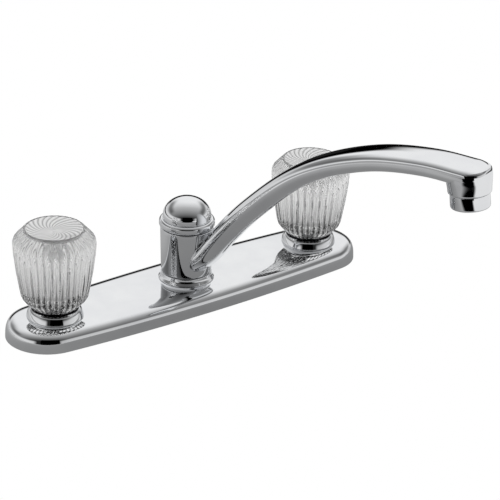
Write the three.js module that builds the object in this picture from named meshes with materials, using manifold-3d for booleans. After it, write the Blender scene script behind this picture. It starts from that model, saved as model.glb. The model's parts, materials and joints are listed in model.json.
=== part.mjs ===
// Two handle kitchen faucet on an 8 inch centre-set deck plate.
// Millimetres, +Z up. The origin is on the sink deck, under the spout post.
// The hot valve stands at -X, the cold valve at +X, and the user at -Y.
import * as THREE from 'three';
import { mergeVertices } from 'three/addons/utils/BufferGeometryUtils.js';
import Module from 'manifold-3d';

const wasm = await Module();
wasm.setup();

// ---- Driving dimensions -------------------------------------------------------------------

const handleSpacing = 203.2;    // between the two valve axes
const spoutSwing = 20;          // degrees from straight ahead towards the cold side, as pictured
const deckGap = 6;              // room for the sink deck between the gasket and the washers

const runningGap = 0.3;         // between pieces that turn or slide on each other
const threadGap = 0.3;          // radial, between screwed pieces
const fitGap = 0.3;             // between pieces that are pushed together once
const socketGap = 0.15;         // radial, round a brazed tube
const sealGap = 0.15;           // between a rubber ring and the wall that it seals on

const plate = {
  overhang: 5.4,                // from a valve's axis to the centre of the round end beyond it
  endRadius: 27.1,
  halfWidth: 31.6,              // at the middle of the bowed long sides
  height: 13,
  wall: 1.6,
  draft: 0.7,                   // how far the skirt leans in
  edgeRun: 1.9,                 // the rounded top edge, across and up
  edgeRise: 1.9,
  crownRun: 11,                 // the soft rise from the edge to the flat middle
  crownRise: 1.9,
};
const gasket = { thickness: 2, inset: 0.6 };

const hub = {
  bodyRadius: 15,
  postRadius: 13,
  threadRadius: 11.5,
  bore: 6.5,
  floor: 2,                     // metal under the bore
  roof: 6,                      // metal between the bore and the dome cap's socket
  socketRadius: 9.5,
  portRadius: 3,
  ports: 4,
  portRise: 15.3,               // of the water ports above the foot of the spout's sleeve
  ringInset: 4.5,               // from each end of the sleeve to the rubber ring there
  ringGroove: 2,
  ringGrooveWidth: 3,
};
const spoutRing = { wire: 1 };
const tube = { radius: 3.2, bore: 2.4, socket: 3 };

const valve = {
  bodyRadius: 14,
  barrelRadius: 12,
  barrelRise: 5.6,              // above the plate
  shankRadius: 10.4,
  shankLength: 48,              // below the deck
  tipChamfer: 1,
  bore: 7.2,
  chamber: 8,
  floor: 1.2,                   // metal under the chamber, above the gasket
  sleeveChamber: 8.8,
  pocket: 3.7,                  // holds the seat and its spring
  pocketDepth: 11.2,
  pocketOffset: 3.6,
  ledge: 2,
  ledgeHole: 2.3,
};
const stemSleeve = { length: 8 };
const stem = {
  discThickness: 2.6,
  windowRadius: 2,
  windowInset: 0.6,
  collarRadius: 7.2,
  collarThickness: 2,
  shaftRadius: 4.9,
  shaftInKnob: 1,
  splineRadius: 4,
  splineLength: 12.7,
  ringRise: 3.8,                // of the rubber ring above the foot of the stem sleeve
  ringGroove: 1.2,
  ringGrooveWidth: 2,
};
const stemRing = { wire: 0.65 };
const seat = { height: 3, hole: 1.6, proud: 0.1 };
const spring = { wire: 0.45, clearance: 0.7, slack: 0.1, turns: 4, steps: 7, sides: 4 };

const bonnet = {
  radius: 18.2,
  lip: 0.5,                     // upright edge on the plate
  coneRadius: 16.6,
  coneHeight: 4.8,
  shoulderRadius: 15.3,
  shoulderHeight: 5.6,
  neckRadius: 14.3,
  height: 8,
};

const knob = {
  lift: 0.5,                    // above the bonnet
  footRadius: 15.7,
  rimRadius: 26.4,
  rimRise: 41.5,
  height: 51.7,
  lipRadius: 18.9,
  flutes: 36,
  fluteDepth: 1.2,
  seatRadius: 18.2,             // recess for the cap
  seatDepth: 3,
  web: 7,                       // plastic between the stem and the screw's head
  counterbore: 5.2,
  screwClearance: 0.4,
};
const cap = { dish: 1.8, flutes: 24, fluteDepth: 0.3, twist: 60 };
const screw = {
  headRadius: 4.4, headHeight: 3.2, headChamfer: 1, shankRadius: 2.1, engaged: 9.2, tipRoom: 1.8,
  slot: 1.2, slotDepth: 1.5,
};

const sleeve = { length: 31, bottomRadius: 16.6, topRadius: 17.4, edge: 0.5 };
const footRing = { radius: 18.3, topRadius: 16.6, height: 4.9, flange: 0.5, slope: 4.1 };
const spoutNut = { radius: 18.2, height: 5.5, chamfer: 1.2 };
const dome = { radius: 15.75, straight: 2, rise: 12.3, wall: 1.5, beadRadius: 16.1, bead: 0.8 };
const spigot = { length: 6, wall: 1.5, tipRoom: 3 };

const outlet = {
  reach: 202.9,                 // from the post's axis
  tilt: 7,                      // degrees, leaning away from the post
  drop: 11.3,                   // from the centre line to the rim
  radius: 13.3,
  wall: 1.3,
  neck: 3,                      // plain round part above the rim
  blend: 8,                     // height at which the tower has the nose's plan
  rise: 14.5,
  topRadius: 13,                // half the tower's width at its top, inside the nose
  threadDepth: 8.5,
};
const nose = { cornerRadius: 11.4, droop: 0.8, lean: 9 };   // its front leans back, in degrees

// Centre line of the arched spout: distance from the post's axis, and height above the sleeve's foot.
const archLine = [
  [7, 7.3], [16, 14.4], [30, 33], [50, 56.4], [90, 91.9], [135, 112.2], [175, 119.3], [outlet.reach, 119.5],
];
// Width and height of its section, and how square its top and bottom are, along the same line.
const archSection = [
  { at: 7, width: 24.5, height: 15, top: 2.3, bottom: 2.3 },
  { at: 50, width: 25.8, height: 15, top: 2.5, bottom: 2.3 },
  { at: 100, width: 26.5, height: 13.8, top: 2.9, bottom: 2.4 },
  { at: 160, width: 27.2, height: 12.9, top: 4.2, bottom: 2.6 },
  { at: 218, width: 27, height: 12.7, top: 5.5, bottom: 2.8 },
];
const spoutWall = 2;

const aerator = {
  radius: 12.4,
  skirt: 9.6,                   // the part that shows below the spout
  chamfer: 1.2,
  wall: 1.4,
  lip: 1.2,
  lipReach: 1.1,
  washer: 1.6,
  washerReach: 3,
  insertStep: 0.7,
  flange: 1.2,
  insertHole: 2.5,
  screen: 0.6,
};

const washer = { radius: 21, thickness: 1.5 };
const wingNut = {
  radius: 19, bodyRadius: 16, flange: 3, height: 13, wings: 4, wingReach: 27, wingThickness: 5,
};

const roundSides = 32;          // on pieces that show
const hiddenSides = 16;
const smallSides = 12;

// ---- Values that follow from them ---------------------------------------------------------

const radians = THREE.MathUtils.degToRad;
const handleX = handleSpacing / 2;
const deckTop = plate.height;
const bodyTop = plate.height - plate.wall - fitGap;
const tubeHeight = (gasket.thickness + bodyTop) / 2;

const sleeveBottom = deckTop + footRing.height + runningGap;
const sleeveTop = sleeveBottom + sleeve.length;
const sleeveBore = hub.postRadius + runningGap;
const nutBottom = sleeveTop + runningGap;
const nutTop = nutBottom + spoutNut.height;
const socketFloor = nutTop - spigot.length - spigot.tipRoom;

const barrelTop = deckTop + valve.barrelRise;
const chamberFloor = gasket.thickness + valve.floor;
const sleeveSeat = barrelTop - stemSleeve.length;
const ledgeTop = chamberFloor - valve.pocketDepth;
const seatTop = chamberFloor + seat.proud;
const discBottom = chamberFloor + runningGap;
const bonnetTop = deckTop + bonnet.height;
const knobBottom = bonnetTop + knob.lift;
const knobTop = knobBottom + knob.height;
const shaftTop = knobBottom + stem.shaftInKnob;
const stemTop = shaftTop + stem.splineLength;
const underHead = stemTop + fitGap + knob.web;
const screwTip = stemTop - screw.engaged;

// ---- Materials ----------------------------------------------------------------------------

const finish = (color, roughness, metalness, more = {}) =>
  new THREE.MeshStandardMaterial({ color, roughness, metalness, ...more });
const chrome = finish(0xd9dbde, 0.06, 1);
const brass = finish(0xc2a15c, 0.35, 1);
const copper = finish(0xb8734a, 0.35, 1);
const steel = finish(0xb5b7b9, 0.3, 1);
const blackRubber = finish(0x1b1b1c, 0.75, 0);
const whitePlastic = finish(0xe8e6df, 0.5, 0);
const greyPlastic = finish(0x8f9396, 0.55, 0);
const clearAcrylic = finish(0xeef2f4, 0.05, 0, { transparent: true, opacity: 0.45 });

// ---- Geometry helpers ---------------------------------------------------------------------

// One closed mesh: shared vertices merged, no collapsed triangles, faces pointing out.
function closed(geometry) {
  const bare = geometry.clone();
  bare.deleteAttribute('normal');
  bare.deleteAttribute('uv');
  const merged = mergeVertices(bare, 1e-4);
  const p = merged.attributes.position;
  const all = merged.index.array;
  const kept = [];
  let volume = 0;
  const [a, b, c] = [new THREE.Vector3(), new THREE.Vector3(), new THREE.Vector3()];
  for (let i = 0; i < all.length; i += 3) {
    const [u, v, w] = [all[i], all[i + 1], all[i + 2]];
    if (u === v || v === w || w === u) continue;
    kept.push(u, v, w);
    a.fromBufferAttribute(p, u);
    b.fromBufferAttribute(p, v);
    c.fromBufferAttribute(p, w);
    volume += a.dot(b.cross(c));
  }
  if (volume < 0) kept.reverse();
  merged.setIndex(kept);
  return merged;
}

function toSolid(geometry) {
  const shape = closed(geometry);
  return new wasm.Manifold(new wasm.Mesh({
    numProp: 3,
    vertProperties: new Float32Array(shape.attributes.position.array),
    triVerts: new Uint32Array(shape.index.array),
  }));
}

function toGeometry(solid) {
  const mesh = solid.getMesh();
  const geometry = new THREE.BufferGeometry();
  geometry.setAttribute('position', new THREE.BufferAttribute(mesh.vertProperties, 3));
  geometry.setIndex(new THREE.BufferAttribute(mesh.triVerts, 1));
  return geometry;
}

const cut = (from, ...tools) => tools.reduce((left, tool) => left.subtract(toSolid(tool)), from);
const join = (first, ...rest) => rest.reduce((sum, shape) => sum.add(toSolid(shape)), toSolid(first));

// A solid of revolution about Z. The outline is a list of [radius, height].
function turned(outline, sides = roundSides) {
  const points = outline.map(([r, z]) => new THREE.Vector2(Math.max(r, 0), z));
  return new THREE.LatheGeometry(points, sides).rotateX(Math.PI / 2);
}

// The corner radius of a faceted hole whose flats lie at the given radius, so a round shaft turns in it.
const open = (radius, sides = hiddenSides) => radius / Math.cos(Math.PI / sides);

const disc = (radius, low, high) => [[0, low], [radius, low], [radius, high], [0, high]];
const band = (inner, outer, low, high) =>
  [[inner, low], [outer, low], [outer, high], [inner, high], [inner, low]];
const bore = (radius, low, high, sides = hiddenSides) => turned(disc(open(radius, sides), low, high), sides);
const washerShape = (inner, outer, low, high) =>
  turned(band(open(inner), outer, low, high), hiddenSides);

function rubberRing(radius, height, wire, sides, strokes = 6) {
  const points = [];
  for (let i = 0; i <= strokes; i += 1) {
    const t = (2 * Math.PI * i) / strokes;
    points.push([radius + wire * Math.cos(t), height + wire * Math.sin(t)]);
  }
  return turned(points, sides);
}

// A cylinder lying along X from x0 to x1.
function lying(radius, x0, x1, z, sides = hiddenSides) {
  return new THREE.CylinderGeometry(radius, radius, Math.abs(x1 - x0), sides)
    .rotateZ(Math.PI / 2).translate((x0 + x1) / 2, 0, z);
}

// Rings of equal length skinned one after the other, with a fan on each end.
function skinned(rings) {
  const count = rings[0].length;
  const position = [];
  const index = [];
  rings.forEach((ring) => ring.forEach((p) => position.push(p.x, p.y, p.z)));
  for (let k = 0; k < rings.length - 1; k += 1) {
    for (let i = 0; i < count; i += 1) {
      const a = k * count + i;
      const b = k * count + ((i + 1) % count);
      index.push(a, b, a + count, b, b + count, a + count);
    }
  }
  [0, rings.length - 1].forEach((k) => {
    const middle = new THREE.Vector3();
    rings[k].forEach((p) => middle.addScaledVector(p, 1 / count));
    const centre = position.length / 3;
    position.push(middle.x, middle.y, middle.z);
    for (let i = 0; i < count; i += 1) {
      const a = k * count + i;
      const b = k * count + ((i + 1) % count);
      if (k === 0) index.push(b, a, centre);
      else index.push(a, b, centre);
    }
  });
  const geometry = new THREE.BufferGeometry();
  geometry.setAttribute('position', new THREE.Float32BufferAttribute(position, 3));
  geometry.setIndex(index);
  return geometry;
}

const faucet = new THREE.Group();
function add(name, shape, material, parent = faucet) {
  const geometry = shape.isBufferGeometry ? closed(shape) : toGeometry(shape);
  geometry.computeVertexNormals();
  const mesh = new THREE.Mesh(geometry, material);
  mesh.name = name;
  parent.add(mesh);
  return mesh;
}

// ---- Deck plate and its gasket ------------------------------------------------------------

// The plate's outline drawn in by some inset: two round ends and two bowed sides, all tangent.
function plateOutline(inset, height, endSteps = 12, sideSteps = 6) {
  const endX = handleX + plate.overhang;
  const end = plate.endRadius - inset;
  const half = plate.halfWidth - inset;
  const bow = (endX ** 2 + half ** 2 - end ** 2) / (2 * (half - end));
  const tangent = Math.atan2(bow - half, endX);
  const points = [];
  const arc = (cx, cy, radius, from, to, steps) => {
    for (let i = 0; i < steps; i += 1) {
      const t = from + ((to - from) * i) / steps;
      points.push(new THREE.Vector3(cx + radius * Math.cos(t), cy + radius * Math.sin(t), height));
    }
  };
  arc(0, half - bow, bow, tangent, Math.PI - tangent, sideSteps);
  arc(-endX, 0, end, Math.PI - tangent, Math.PI + tangent, endSteps);
  arc(0, bow - half, bow, Math.PI + tangent, 2 * Math.PI - tangent, sideSteps);
  arc(endX, 0, end, -tangent, tangent, endSteps);
  return points;
}

// Skirt, rounded edge and soft crown, as [inset, height] pairs from the foot up.
function plateProfile() {
  const { height, draft, edgeRun, edgeRise, crownRun, crownRise } = plate;
  const edgeTop = height - crownRise;
  const skirtTop = edgeTop - edgeRise;
  const rounded = [30, 60, 90].map(radians).map((t) => [
    draft + edgeRun * (1 - Math.cos(t)),
    skirtTop + edgeRise * Math.sin(t),
  ]);
  const crown = [40, 90].map(radians).map((t) => [
    draft + edgeRun + crownRun * (t / (Math.PI / 2)),
    edgeTop + crownRise * Math.sin(t),
  ]);
  return [[0, 0], [draft, skirtTop], ...rounded, ...crown];
}

function plateShell() {
  const profile = plateProfile();
  const outside = profile.map(([inset, height]) => plateOutline(inset, height));
  const insideProfile = profile.filter((_, i) => i === 1 || i === 4 || i === profile.length - 1);
  const inside = [plateOutline(plate.wall, -plate.wall)];
  insideProfile.forEach(([inset, height]) => {
    inside.push(plateOutline(inset + plate.wall, height - plate.wall));
  });
  const through = (radius, x) => bore(radius + fitGap, 0, 2 * plate.height).translate(x, 0, 0);
  return cut(join(skinned(outside)), skinned(inside), through(hub.postRadius, 0),
    through(valve.barrelRadius, -handleX), through(valve.barrelRadius, handleX));
}
add('deck_plate', plateShell(), chrome);

function gasketSlab() {
  const inset = plate.draft + plate.wall + gasket.inset;
  const slab = skinned([plateOutline(inset, 0), plateOutline(inset, gasket.thickness)]);
  const through = (x) => bore(valve.shankRadius + fitGap, -gasket.thickness, 2 * gasket.thickness)
    .translate(x, 0, 0);
  return cut(join(slab), through(-handleX), through(handleX));
}
add('deck_gasket', gasketSlab(), blackRubber);

// ---- Spout hub and cross tubes ------------------------------------------------------------

const ringHeights = [sleeveBottom + hub.ringInset, sleeveTop - hub.ringInset];

function hubSolid() {
  const low = gasket.thickness;
  const postTop = sleeveTop - runningGap;
  const threadTop = nutTop - runningGap;
  const groove = hub.postRadius - hub.ringGroove;
  const halfGroove = hub.ringGrooveWidth / 2;
  const outline = [[0, low], [hub.bodyRadius, low], [hub.bodyRadius, bodyTop], [hub.postRadius, bodyTop]];
  for (const z of ringHeights) {
    outline.push([hub.postRadius, z - halfGroove], [groove, z - halfGroove]);
    outline.push([groove, z + halfGroove], [hub.postRadius, z + halfGroove]);
  }
  outline.push([hub.postRadius, postTop], [hub.threadRadius, postTop]);
  outline.push([hub.threadRadius, threadTop], [0, threadTop]);
  const ports = Array.from({ length: hub.ports }, (_, i) =>
    lying(hub.portRadius, 0, 2 * hub.postRadius, sleeveBottom + hub.portRise, smallSides)
      .rotateZ((2 * Math.PI * (i + 0.5)) / hub.ports));
  const sockets = [-1, 1].flatMap((side) => tubeSocket(side, hub.bodyRadius));
  return cut(join(turned(outline, hiddenSides)),
    bore(hub.bore, low + hub.floor, socketFloor - hub.roof),
    bore(hub.socketRadius, socketFloor, 2 * nutTop), ...ports, ...sockets);
}

// The brazed socket for a cross tube in a round body on the Z axis, and the waterway behind it.
function tubeSocket(side, bodyRadius) {
  const outside = side * 2 * bodyRadius;
  return [
    lying(open(tube.radius + socketGap), side * (bodyRadius - tube.socket), outside, tubeHeight),
    lying(tube.bore, 0, outside, tubeHeight, smallSides),
  ];
}

function crossTube(side) {
  const from = side * (hub.bodyRadius - tube.socket + fitGap);
  const to = side * (handleX - valve.bodyRadius + tube.socket - fitGap);
  return cut(join(lying(tube.radius, from, to, tubeHeight)),
    lying(tube.bore, 0, 2 * to, tubeHeight, smallSides));
}

add('spout_hub', hubSolid(), brass);
['lower', 'upper'].forEach((label, i) => {
  const radius = sleeveBore - sealGap - spoutRing.wire;
  add(`${label}_spout_oring`, rubberRing(radius, ringHeights[i], spoutRing.wire, hiddenSides), blackRubber);
});

// ---- Foot ring, spout nut and dome cap ----------------------------------------------------

// Chrome foot ring: a low flange on the plate that the spout turns above.
function footRingShape() {
  const { radius, topRadius, height, flange, slope } = footRing;
  const inner = open(hub.postRadius + fitGap, roundSides);
  const top = deckTop + height;
  const slopeTop = deckTop + flange + slope;
  return turned([
    [inner, deckTop], [radius, deckTop], [radius, deckTop + flange],
    [(radius + topRadius) / 2, deckTop + flange + slope / 2], [topRadius, slopeTop], [topRadius, top],
    [inner, top], [inner, deckTop],
  ]);
}
add('foot_ring', footRingShape(), chrome);

function spoutNutShape() {
  const { radius, chamfer } = spoutNut;
  const inner = open(hub.threadRadius + threadGap, roundSides);
  return turned([
    [inner, nutBottom], [radius - chamfer, nutBottom], [radius, nutBottom + chamfer],
    [radius, nutTop - chamfer], [radius - chamfer, nutTop], [inner, nutTop], [inner, nutBottom],
  ]);
}
add('spout_nut', spoutNutShape(), chrome);

// A quarter of an ellipse from its widest point up to its top.
function quarter(radius, rise, low, steps) {
  return Array.from({ length: steps + 1 }, (_, i) => {
    const t = (Math.PI / 2) * (i / steps);
    return [radius * Math.cos(t), low + rise * Math.sin(t)];
  });
}

function domeCapShape() {
  const { radius, straight, rise, wall, beadRadius, bead } = dome;
  const springing = nutTop + straight;
  const outerSpigot = hub.socketRadius - threadGap;
  const innerSpigot = outerSpigot - spigot.wall;
  const foot = nutTop - spigot.length;
  return turned([
    ...quarter(innerSpigot, rise - wall, springing, 2).reverse(),
    [innerSpigot, foot], [outerSpigot, foot], [outerSpigot, nutTop], [beadRadius, nutTop],
    [beadRadius, nutTop + bead], [radius, nutTop + bead], ...quarter(radius, rise, springing, 5),
  ]);
}
add('dome_cap', domeCapShape(), chrome);

// ---- One valve, its handle and its deck fixings -------------------------------------------

function valveBodySolid(side) {
  const { shankRadius, shankLength, tipChamfer, bodyRadius, barrelRadius, pocketOffset } = valve;
  const boreTop = ledgeTop - valve.ledge;
  const over = 2 * barrelTop;
  const outer = turned([
    [0, -shankLength], [shankRadius - tipChamfer, -shankLength], [shankRadius, tipChamfer - shankLength],
    [shankRadius, gasket.thickness], [bodyRadius, gasket.thickness], [bodyRadius, bodyTop],
    [barrelRadius, bodyTop], [barrelRadius, barrelTop], [0, barrelTop],
  ], hiddenSides);
  return cut(join(outer),
    bore(valve.bore, -2 * shankLength, boreTop),
    bore(valve.chamber, chamberFloor, over),
    bore(valve.sleeveChamber, sleeveSeat, over),
    bore(valve.pocket, ledgeTop, discBottom, smallSides).translate(0, pocketOffset, 0),
    bore(valve.ledgeHole, boreTop - valve.ledge, discBottom, smallSides).translate(0, pocketOffset, 0),
    ...tubeSocket(-side, bodyRadius));
}

// A coil spring standing on the pocket's ledge under the rubber seat.
function springShape() {
  const { wire, slack, clearance, turns, steps, sides } = spring;
  const radius = valve.pocket - wire - clearance;
  const low = ledgeTop + wire + slack;
  const high = seatTop - seat.height - wire - slack;
  const rings = Array.from({ length: turns * steps + 1 }, (_, i) => {
    const t = (2 * Math.PI * i) / steps;
    const z = THREE.MathUtils.lerp(low, high, i / (turns * steps));
    return Array.from({ length: sides }, (__, j) => {
      const a = (2 * Math.PI * j) / sides;
      const r = radius + wire * Math.cos(a);
      return new THREE.Vector3(r * Math.cos(t), r * Math.sin(t), z + wire * Math.sin(a));
    });
  });
  return skinned(rings).translate(0, valve.pocketOffset, 0);
}

const stemRingHeight = sleeveSeat + stem.ringRise;

// From the foot up: the disc over the seat, the collar under the sleeve, the ring groove, the spline.
function stemSolid() {
  const { shaftRadius, collarRadius, splineRadius } = stem;
  const discRadius = valve.chamber - runningGap;
  const discTop = discBottom + stem.discThickness;
  const collarTop = sleeveSeat - runningGap;
  const collarLow = collarTop - stem.collarThickness;
  const groove = shaftRadius - stem.ringGroove;
  const halfGroove = stem.ringGrooveWidth / 2;
  const body = turned([
    [0, discBottom], [discRadius, discBottom], [discRadius, discTop], [shaftRadius, discTop],
    [shaftRadius, collarLow], [collarRadius, collarLow], [collarRadius, collarTop], [shaftRadius, collarTop],
    [shaftRadius, stemRingHeight - halfGroove], [groove, stemRingHeight - halfGroove],
    [groove, stemRingHeight + halfGroove], [shaftRadius, stemRingHeight + halfGroove],
    [shaftRadius, shaftTop], [splineRadius, shaftTop], [splineRadius, stemTop], [0, stemTop],
  ], hiddenSides);
  const window = bore(stem.windowRadius, discBottom - runningGap, discTop + runningGap, smallSides)
    .translate(discRadius - stem.windowRadius - stem.windowInset, 0, 0);
  return cut(join(body), window,
    bore(screw.shankRadius + threadGap, screwTip - screw.tipRoom, 2 * stemTop, smallSides));
}

function bonnetShape() {
  const { radius, lip, coneRadius, coneHeight, shoulderRadius, shoulderHeight, neckRadius } = bonnet;
  const inner = open(valve.barrelRadius + threadGap, roundSides);
  const stemHole = open(stem.shaftRadius + runningGap, roundSides);
  const ceiling = barrelTop + runningGap;
  return turned([
    [inner, deckTop], [radius, deckTop], [radius, deckTop + lip], [coneRadius, deckTop + coneHeight],
    [shoulderRadius, deckTop + shoulderHeight], [neckRadius, deckTop + shoulderHeight],
    [neckRadius, bonnetTop], [stemHole, bonnetTop], [stemHole, ceiling], [inner, ceiling], [inner, deckTop],
  ]);
}

// The clear knob flares up to its rim. The outline holds [radius, height, flute share] from the foot.
const knobOutline = [
  [knob.footRadius, 0, 0], [18.7, 2.5, 0], [21.3, 5.7, 0.6], [24.3, 22.5, 1], [25.7, 33.5, 1],
  [knob.rimRadius, knob.rimRise, 0.4], [25.6, 44.6, 0.2], [knob.lipRadius, knob.height, 0],
];
function knobSolid() {
  const columns = 2 * knob.flutes;
  const rings = knobOutline.map(([radius, rise, share]) => Array.from({ length: columns }, (_, i) => {
    const t = (2 * Math.PI * i) / columns;
    const r = radius - (i % 2 ? 0 : knob.fluteDepth * share);
    return new THREE.Vector3(r * Math.cos(t), r * Math.sin(t), knobBottom + rise);
  }));
  const over = 2 * knobTop;
  return cut(join(skinned(rings)),
    bore(stem.shaftRadius + fitGap, 0, shaftTop + fitGap),
    bore(stem.splineRadius + fitGap, 0, stemTop + fitGap),
    bore(screw.shankRadius + knob.screwClearance, 0, over, smallSides),
    bore(knob.counterbore, underHead, over),
    bore(knob.seatRadius, knobTop - knob.seatDepth, over, roundSides));
}

// The cap is a clear disc, slightly dished, whose flutes swirl in to the middle.
function capShape() {
  const columns = 2 * cap.flutes;
  const low = knobTop - knob.seatDepth;
  const edgeRadius = knob.seatRadius - fitGap;
  const ring = (share, height, turn, dip) => Array.from({ length: columns }, (_, i) => {
    const a = (2 * Math.PI * i) / columns + turn;
    const z = height - (i % 2 ? dip : 0);
    return new THREE.Vector3(edgeRadius * share * Math.cos(a), edgeRadius * share * Math.sin(a), z);
  });
  const dished = [0.93, 0.65, 0.35, 0.12].map((share) => ring(share, knobTop - cap.dish * (1 - share ** 2),
    radians(cap.twist) * (1 - share), cap.fluteDepth * Math.sqrt(share)));
  return skinned([ring(1, low, 0, 0), ring(1, knobTop, 0, 0), ...dished]);
}

function screwSolid() {
  const { headRadius, headHeight, headChamfer, shankRadius } = screw;
  const top = underHead + headHeight;
  const body = turned([
    [0, screwTip], [shankRadius, screwTip], [shankRadius, underHead], [headRadius, underHead],
    [headRadius, top - headChamfer], [headRadius - headChamfer, top], [0, top],
  ], hiddenSides);
  const slot = new THREE.BoxGeometry(3 * headRadius, screw.slot, 2 * screw.slotDepth).translate(0, 0, top);
  return cut(join(body), slot);
}

// Plastic wing nut that draws the shank down against the underside of the sink.
function wingNutSolid() {
  const { radius, bodyRadius, flange, height, wings, wingReach, wingThickness } = wingNut;
  const top = -deckGap - washer.thickness;
  const hole = valve.shankRadius + threadGap;
  const start = (hole + bodyRadius) / 2;
  const blades = Array.from({ length: wings }, (_, i) =>
    new THREE.BoxGeometry(wingReach - start, wingThickness, height)
      .translate((wingReach + start) / 2, 0, top - height / 2)
      .rotateZ((2 * Math.PI * (i + 0.5)) / wings));
  return cut(join(turned(disc(bodyRadius, top - height, top), hiddenSides),
    turned(disc(radius, top - flange, top), hiddenSides), ...blades),
  bore(hole, 2 * (top - height), 0));
}

function addValve(label, side) {
  const group = new THREE.Group();
  group.position.x = side * handleX;
  faucet.add(group);
  const piece = (name, shape, material) => add(`${name}_${label}`, shape, material, group);

  piece('valve_body', valveBodySolid(side), brass);
  add(`cross_tube_${label}`, crossTube(side), copper);
  piece('valve_seat', washerShape(seat.hole, valve.pocket - fitGap, seatTop - seat.height, seatTop)
    .translate(0, valve.pocketOffset, 0), blackRubber);
  piece('seat_spring', springShape(), steel);
  piece('stem', stemSolid(), steel);
  const ringRadius = stem.shaftRadius + runningGap - sealGap - stemRing.wire;
  piece('stem_oring', rubberRing(ringRadius, stemRingHeight, stemRing.wire, hiddenSides), blackRubber);
  piece('stem_sleeve', washerShape(stem.shaftRadius + runningGap, valve.sleeveChamber - fitGap,
    sleeveSeat, barrelTop), whitePlastic);
  piece('bonnet', bonnetShape(), chrome);
  piece('knob', knobSolid(), clearAcrylic);
  piece('knob_cap', capShape(), clearAcrylic);
  piece('handle_screw', screwSolid(), steel);
  piece('deck_washer', washerShape(valve.shankRadius + fitGap, washer.radius,
    -deckGap - washer.thickness, -deckGap), steel);
  piece('wing_nut', wingNutSolid(), greyPlastic);
}
addValve('hot', -1);
addValve('cold', 1);

// ---- Swinging spout -----------------------------------------------------------------------

const spout = new THREE.Group();
spout.rotation.z = radians(spoutSwing);
faucet.add(spout);

const archPoints = archLine.map(([reach, rise]) => new THREE.Vector3(0, -reach, sleeveBottom + rise));
const archCurve = new THREE.CatmullRomCurve3(archPoints, false, 'centripetal');
const archEnd = archPoints[archPoints.length - 1];

// The section's values at one distance from the post, straight lines between the rows of the list.
function sectionAt(reach) {
  const last = archSection.length - 1;
  const i = Math.min(Math.max(archSection.findIndex((row) => row.at >= reach), 1), last);
  const [a, b] = [archSection[i - 1], archSection[i]];
  const t = THREE.MathUtils.clamp((reach - a.at) / (b.at - a.at), 0, 1);
  const mix = (key) => THREE.MathUtils.lerp(a[key], b[key], t);
  return { width: mix('width'), height: mix('height'), top: mix('top'), bottom: mix('bottom') };
}

// A flattened ring round one point of the arch: square-shouldered above, rounder below.
function archRing(centre, tangent, section, wall, sides) {
  const up = new THREE.Vector3(0, tangent.z, -tangent.y).normalize();
  const power = (value, n) => Math.sign(value) * Math.abs(value) ** (2 / n);
  return Array.from({ length: sides }, (_, i) => {
    const t = (2 * Math.PI * (i + 0.5)) / sides;
    const n = Math.sin(t) > 0 ? section.top : section.bottom;
    const x = power(Math.cos(t), n) * (section.width / 2 - wall);
    const rise = power(Math.sin(t), n) * (section.height / 2 - wall);
    return centre.clone().addScaledVector(up, rise).add(new THREE.Vector3(x, 0, 0));
  });
}

// The arch from the post to the outlet, then a nose rounded in plan.
function archRings(wall, sides, stations) {
  const rings = [];
  for (let k = 0; k <= stations; k += 1) {
    const centre = archCurve.getPointAt(k / stations);
    rings.push(archRing(centre, archCurve.getTangentAt(k / stations), sectionAt(-centre.y), wall, sides));
  }
  const tangent = archCurve.getTangent(1);
  const corner = nose.cornerRadius;
  const noseReach = outlet.radius - outlet.drop * Math.tan(radians(outlet.tilt));
  for (const share of [0, 0.5, 0.8, 0.95, 1]) {
    const section = sectionAt(outlet.reach);
    section.width -= 2 * corner * (1 - Math.sqrt(1 - share ** 2));
    section.height -= 2 * nose.droop * share;
    const along = noseReach - corner + share * (corner - wall);
    const centre = archEnd.clone().addScaledVector(tangent, along);
    centre.z -= share * nose.droop;
    const slope = share * Math.tan(radians(nose.lean));
    rings.push(archRing(centre, tangent, section, wall, sides)
      .map((point) => point.addScaledVector(tangent, slope * (centre.z - point.z))));
  }
  return rings;
}

// A rounded square at one height of the outlet, in the outlet's own tilted frame.
function outletRing(halfWidth, corner, z) {
  const flat = halfWidth - corner;
  return Array.from({ length: roundSides }, (_, i) => {
    const t = (2 * Math.PI * (i + 0.5)) / roundSides;
    const [c, s] = [Math.cos(t), Math.sin(t)];
    return new THREE.Vector3(Math.sign(c) * flat + corner * c, Math.sign(s) * flat + corner * s, z);
  });
}

// Places a shape made round +Z, with the outlet's rim at z = 0, at the end of the spout.
function atOutlet(geometry) {
  return geometry.rotateX(radians(-outlet.tilt)).translate(0, -outlet.reach, archEnd.z - outlet.drop);
}

const threadRadius = outlet.radius - outlet.wall;

function spoutSolid() {
  const { bottomRadius, topRadius, edge } = sleeve;
  const post = turned([
    [0, sleeveBottom], [bottomRadius - edge, sleeveBottom], [bottomRadius, sleeveBottom + edge],
    [topRadius, sleeveTop - edge], [topRadius - edge, sleeveTop], [0, sleeveTop],
  ]);
  const tower = skinned([
    outletRing(outlet.radius, outlet.radius, 0),
    outletRing(outlet.radius, outlet.radius, outlet.neck),
    outletRing(outlet.radius, nose.cornerRadius, outlet.blend),
    outletRing(outlet.topRadius, nose.cornerRadius, outlet.rise),
  ]);
  return cut(join(post, skinned(archRings(0, 22, 16)), atOutlet(tower)),
    skinned(archRings(spoutWall, 10, 12)),
    bore(sleeveBore, 0, 2 * sleeveTop, roundSides),
    atOutlet(bore(threadRadius, -outlet.threadDepth, outlet.threadDepth, roundSides)));
}
add('spout', spoutSolid(), chrome, spout);

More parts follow.
